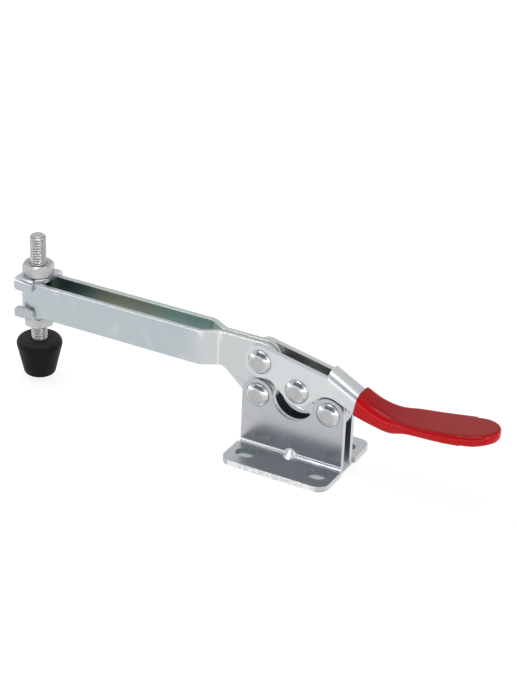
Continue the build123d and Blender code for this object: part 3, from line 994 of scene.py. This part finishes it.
@dataclass
class Grip:
    """Dipped vinyl grip over the handle's tang.

    It is a skin over sections across X. The first ones lean with the handle, the mouth has a
    rounded lip, and the end is round from above and blunt from the side.
    """

    lean: float = 10.4
    lean_over: float = 8.0
    low_r: float = 1.2
    least_r: float = 0.4
    least_half: float = 0.3
    corner_share: float = 0.98
    end_back: float = 2.0
    end_over: float = 0.6
    end_blend: int = 8
    tip_x: float = 73.4
    tip_round: float = 0.8
    tip_drop: float = 0.45
    tip_long: float = 2.4
    tip_rings: int = 14
    lip: float = 0.5
    lip_rings: int = 4
    step: float = 0.6
    corner_steps: int = 10
    flat_steps: int = 8
    stations: tuple[Station, ...] = (
        Station(23.3, 5.25, 32.85, 24.5, 3.7),
        Station(30.0, 5.45, 29.75, 22.9, 3.4),
        Station(36.5, 6.15, 28.05, 22.35, 2.6),
        Station(43.0, 7.4, 28.05, 24.45, 1.65),
        Station(50.0, 8.0, 28.65, 25.2, 1.6),
        Station(57.0, 8.4, 29.6, 25.85, 1.7),
        Station(64.5, 8.5, 30.75, 26.85, 1.75),
        Station(74.5, 8.5, 32.3, 28.5, 1.75),
    )

    def shape(self, x: float) -> Station:
        """Section at an X, on a smooth curve through the stations.

        Args:
            x: place along the grip.

        Returns:
            The section there.
        """
        rows = self.stations
        last = len(rows) - 2
        i = next((k for k in range(last) if x < rows[k + 1].x), last)
        before, a, b, after = rows[max(i - 1, 0)], rows[i], rows[i + 1], rows[min(i + 2, last + 1)]
        span = b.x - a.x
        t = (x - a.x) / span
        from_a, to_b = 2 * t**3 - 3 * t**2 + 1, -2 * t**3 + 3 * t**2
        leave_a, reach_b = (t**3 - 2 * t**2 + t) * span, (t**3 - t**2) * span
        values = [x]
        for k in range(1, len(a)):
            slope_a = (b[k] - before[k]) / (b.x - before.x)
            slope_b = (after[k] - a[k]) / (after.x - a.x)
            values.append(from_a * a[k] + leave_a * slope_a + to_b * b[k] + reach_b * slope_b)
        return Station(*values)

    def half_width(self, x: float, half: float) -> float:
        """Half width with the round end, seen from above.

        Args:
            x: place along the grip.
            half: half width of the section before it is rounded.

        Returns:
            The half width.
        """
        centre = self.stations[-2].x - self.end_back
        if x <= centre:
            return half
        share = (x - centre) / (self.tip_x - centre)
        side = (half + self.end_over) * math.sqrt(max(0.0, 1 - share**2))
        if side <= self.least_half:
            return self.least_half
        power = self.end_blend
        return (min(half, side) ** -power + side**-power) ** (-1 / power)

    def half_height(self, x: float, tall: float) -> float:
        """Half height with the rounded tip, seen from the side.

        Args:
            x: place along the grip.
            tall: half height of the section before it is rounded.

        Returns:
            The half height.
        """
        back = self.tip_x - self.tip_round
        if x <= back:
            return tall
        bow = math.sqrt(max(0.0, 1 - ((x - back) / self.tip_round) ** 2))
        return tall * (1 - self.tip_drop + self.tip_drop * bow)

    def ring(self, x: float, shrink: float = 0.0) -> list[Vector]:
        """Cross-section at an X.

        Args:
            x: place along the grip.
            shrink: how far the whole section is drawn in, for the rounded mouth.

        Returns:
            The section's points in order.
        """
        station = self.shape(x)
        middle = (station.top + station.bottom) / 2
        half = self.half_width(x, station.half) - shrink
        tall = self.half_height(x, (station.top - station.bottom) / 2) - shrink
        widest = self.corner_share * min(tall, half)
        upper, lower = (min(max(r - shrink, self.least_r), widest) for r in (station.upper, self.low_r))
        lean = math.radians(self.lean) * max(0.0, 1 - (x - self.stations[0].x) / self.lean_over)
        corners = ((1, 1, upper, 0), (-1, 1, upper, 90), (-1, -1, lower, 180), (1, -1, lower, 270))
        section = []
        for side, rise, radius, start in corners:
            for k in range(self.corner_steps + 1):
                angle = math.radians(start + 90 * k / self.corner_steps)
                y = side * (half - radius) + radius * math.cos(angle)
                section.append((y, rise * (tall - radius) + radius * math.sin(angle)))
            if side == rise:
                flat = side * (half - radius)
                for k in range(1, self.flat_steps):
                    section.append((flat * (1 - 2 * k / self.flat_steps), rise * tall))
        return [Vector((x + z * math.sin(lean), y, middle + z * math.cos(lean))) for y, z in section]

    def build(self) -> bpy.types.Object:
        """Skins the grip.

        Returns:
            The grip.
        """
        start = self.stations[0].x
        rings = []
        for k in range(self.lip_rings + 1):
            angle = math.pi / 2 * k / self.lip_rings
            inwards, drawn_in = 1 - math.cos(angle), 1 - math.sin(angle)
            rings.append(self.ring(start + self.lip * inwards, self.lip * drawn_in))
        last = start + self.lip
        while last + self.step < self.tip_x - self.tip_long:
            last += self.step
            rings.append(self.ring(last))
        for k in range(1, self.tip_rings + 1):
            share = math.sin(math.pi / 2 * k / self.tip_rings)
            rings.append(self.ring(last + (self.tip_x - last) * share))
        return mesh_piece("grip_skin", rings, "handle")

    def dress(self) -> list[str]:
        """Builds and colours the grip.

        Returns:
            Names of the dressed pieces.
        """
        grip = self.build()
        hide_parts("grip")
        paint(grip, DippedVinyl("dipped_vinyl").material())
        return ["grip_skin"]


# ------------------------------------------------------------------ studio
@dataclass(frozen=True)
class Lamp:
    """One soft area light. Its place, target and size are in metres, its power in watts."""

    name: str
    place: Point
    size: Range
    power: float
    target: Point = (0.0, 0.0, 0.02)

    def build(self) -> None:
        """Hangs the light."""
        data = bpy.data.lights.new(self.name, "AREA")
        data.shape = "RECTANGLE"
        data.size, data.size_y = self.size
        data.energy = self.power
        lamp = bpy.data.objects.new(self.name, data)
        bpy.context.scene.collection.objects.link(lamp)
        lamp.location = self.place
        aim = Vector(self.target) - Vector(self.place)
        lamp.rotation_euler = aim.to_track_quat("-Z", "Y").to_euler()


@dataclass
class Floor:
    """Pale floor just under the base, which shades it where it stands."""

    half: float = 6000.0
    drop: float = 0.2
    grey: Colour = (0.2, 0.2, 0.2)
    rough: float = 0.9
    glow: float = 0.83
    base_half: Range = (19.7, 18.5)
    corner_power: int = 6
    shade: Colour = (0.24, 0.275, 0.28)
    shade_core: float = 0.7
    shade_share: float = 0.9

    def material(self) -> bpy.types.Material:
        """Builds the floor's material.

        Returns:
            The finished material.
        """
        s = Shader(bpy.data.materials.new("floor"))
        x, y, _ = s.axes(s.place())
        along, across = (abs(v) / (half * MM) for v, half in zip((x, y), self.base_half))
        under = (along**self.corner_power + across**self.corner_power).step(1.0, self.shade_core)
        return s.surface(
            {
                "Base Color": (*self.grey, 1.0),
                "Roughness": self.rough,
                "Emission Color": s.mix(under * self.shade_share, (1.0, 1.0, 1.0), self.shade),
                "Emission Strength": self.glow,
            }
        )

    def build(self) -> None:
        """Lays the floor."""
        mesh = bpy.data.meshes.new("floor")
        reach = self.half * MM
        corners = [(-reach, -reach, 0), (reach, -reach, 0), (reach, reach, 0), (-reach, reach, 0)]
        mesh.from_pydata(corners, [], [(0, 1, 2, 3)])
        floor = bpy.data.objects.new("floor", mesh)
        bpy.context.scene.collection.objects.link(floor)
        floor.location.z = -self.drop * MM
        paint(floor, self.material())


@dataclass
class Room:
    """Light all round: white, darker through the open front, with a bright sill under it.

    Places are parts of a direction of length 1: across to the right, ahead and up.
    """

    strength: float = 0.9
    sky: Colour = (1.0, 1.0, 1.0)
    back: Colour = (0.80, 0.81, 0.82)
    back_ahead: Range = (0.1, 0.5)
    back_up: Range = (0.09, 0.16)
    front: Colour = (0.20, 0.225, 0.29)
    front_x: float = -0.05
    front_half: Range = (0.67, 0.47)
    front_low: Range = (0.08, 0.24)
    front_high: Range = (0.90, 0.70)
    front_ahead: Range = (-0.2, -0.45)
    sill: Colour = (4.5, 4.5, 4.5)
    sill_low: Range = (0.0, 0.015)
    sill_high: Range = (0.17, 0.14)
    sill_ahead: Range = (0.0, -0.2)

    def build(self) -> bpy.types.World:
        """Makes the room's light.

        Returns:
            The world.
        """
        world = bpy.data.worlds.new("room")
        s = Shader(world)
        across, ahead, up = s.axes(s.out("ShaderNodeTexCoord", {}, {}, Output.GENERATED))
        wide = abs(across - self.front_x).step(*self.front_half)
        high = up.step(*self.front_low) * up.step(*self.front_high)
        front = wide * high * ahead.step(*self.front_ahead)
        sill = up.step(*self.sill_low) * up.step(*self.sill_high) * ahead.step(*self.sill_ahead)
        sky = s.mix(ahead.step(*self.back_ahead) * up.step(*self.back_up), self.sky, self.back)
        glow = s.mix(sill, s.mix(front, sky, self.front), self.sill)
        light = s.out("ShaderNodeBackground", {}, {"Color": glow, "Strength": self.strength})
        s.node("ShaderNodeOutputWorld", {}, {"Surface": light})
        return world


@dataclass
class View:
    """The camera: its angles in degrees, and its lens and aim in pixels of a frame 516 wide."""

    turn: float = 27.315
    rise: float = 27.768
    roll: float = 2.230
    focus_px: float = 2061.0
    px_per_mm: float = 2.890
    off_x: float = 12.980
    off_y: float = -38.185
    width_px: float = 516.0
    sensor: float = 36.0
    clip: Range = (0.01, 20.0)

    def build(self) -> bpy.types.Object:
        """Sets up the camera.

        Returns:
            The camera.
        """
        turn, rise, roll = (math.radians(angle) for angle in (self.turn, self.rise, self.roll))
        ahead = Vector((-math.sin(turn) * math.cos(rise), math.cos(turn) * math.cos(rise), -math.sin(rise)))
        level = Vector((math.cos(turn), math.sin(turn), 0.0))
        plumb = level.cross(ahead)
        right = math.cos(roll) * level + math.sin(roll) * plumb
        up = -math.sin(roll) * level + math.cos(roll) * plumb
        far = self.focus_px / self.px_per_mm
        spot = (-self.off_x * right - self.off_y * up - far * ahead) * MM
        data = bpy.data.cameras.new("camera")
        data.sensor_fit = "HORIZONTAL"
        data.sensor_width = self.sensor
        data.lens = self.sensor * self.focus_px / self.width_px
        data.clip_start, data.clip_end = self.clip
        camera = bpy.data.objects.new("camera", data)
        bpy.context.scene.collection.objects.link(camera)
        camera.matrix_world = Matrix.Translation(spot) @ Matrix((right, up, -ahead)).transposed().to_4x4()
        return camera


@dataclass
class Studio:
    """Pale floor, white room, soft lights and the camera."""

    floor: Floor = field(default_factory=Floor)
    room: Room = field(default_factory=Room)
    view: View = field(default_factory=View)
    lamps: tuple[Lamp, ...] = (
        Lamp("key", (-0.35, -0.50, 1.1), (0.5, 0.14), 0.8),
        Lamp("strip", (-0.1, -0.1, 1.1), (0.9, 0.04), 2.6),
        Lamp("side", (0.8, -0.45, 0.35), (0.2, 0.5), 1.2),
    )

    def build(self) -> None:
        """Sets up the whole studio."""
        scene = bpy.context.scene
        self.floor.build()
        scene.world = self.room.build()
        for lamp in self.lamps:
            lamp.build()
        scene.camera = self.view.build()
        scene.view_settings.view_transform = "Standard"


def main() -> None:
    """Dresses the clamp, piece by piece, and sets the studio."""
    logging.basicConfig(level=logging.INFO, format="%(message)s")
    for assembly in (Pressings(), Rivets(), SpindleSet(), Grip()):
        for name in assembly.dress():
            log.info("dressed %s", name)
    Studio().build()


if __name__ == "__main__":
    main()
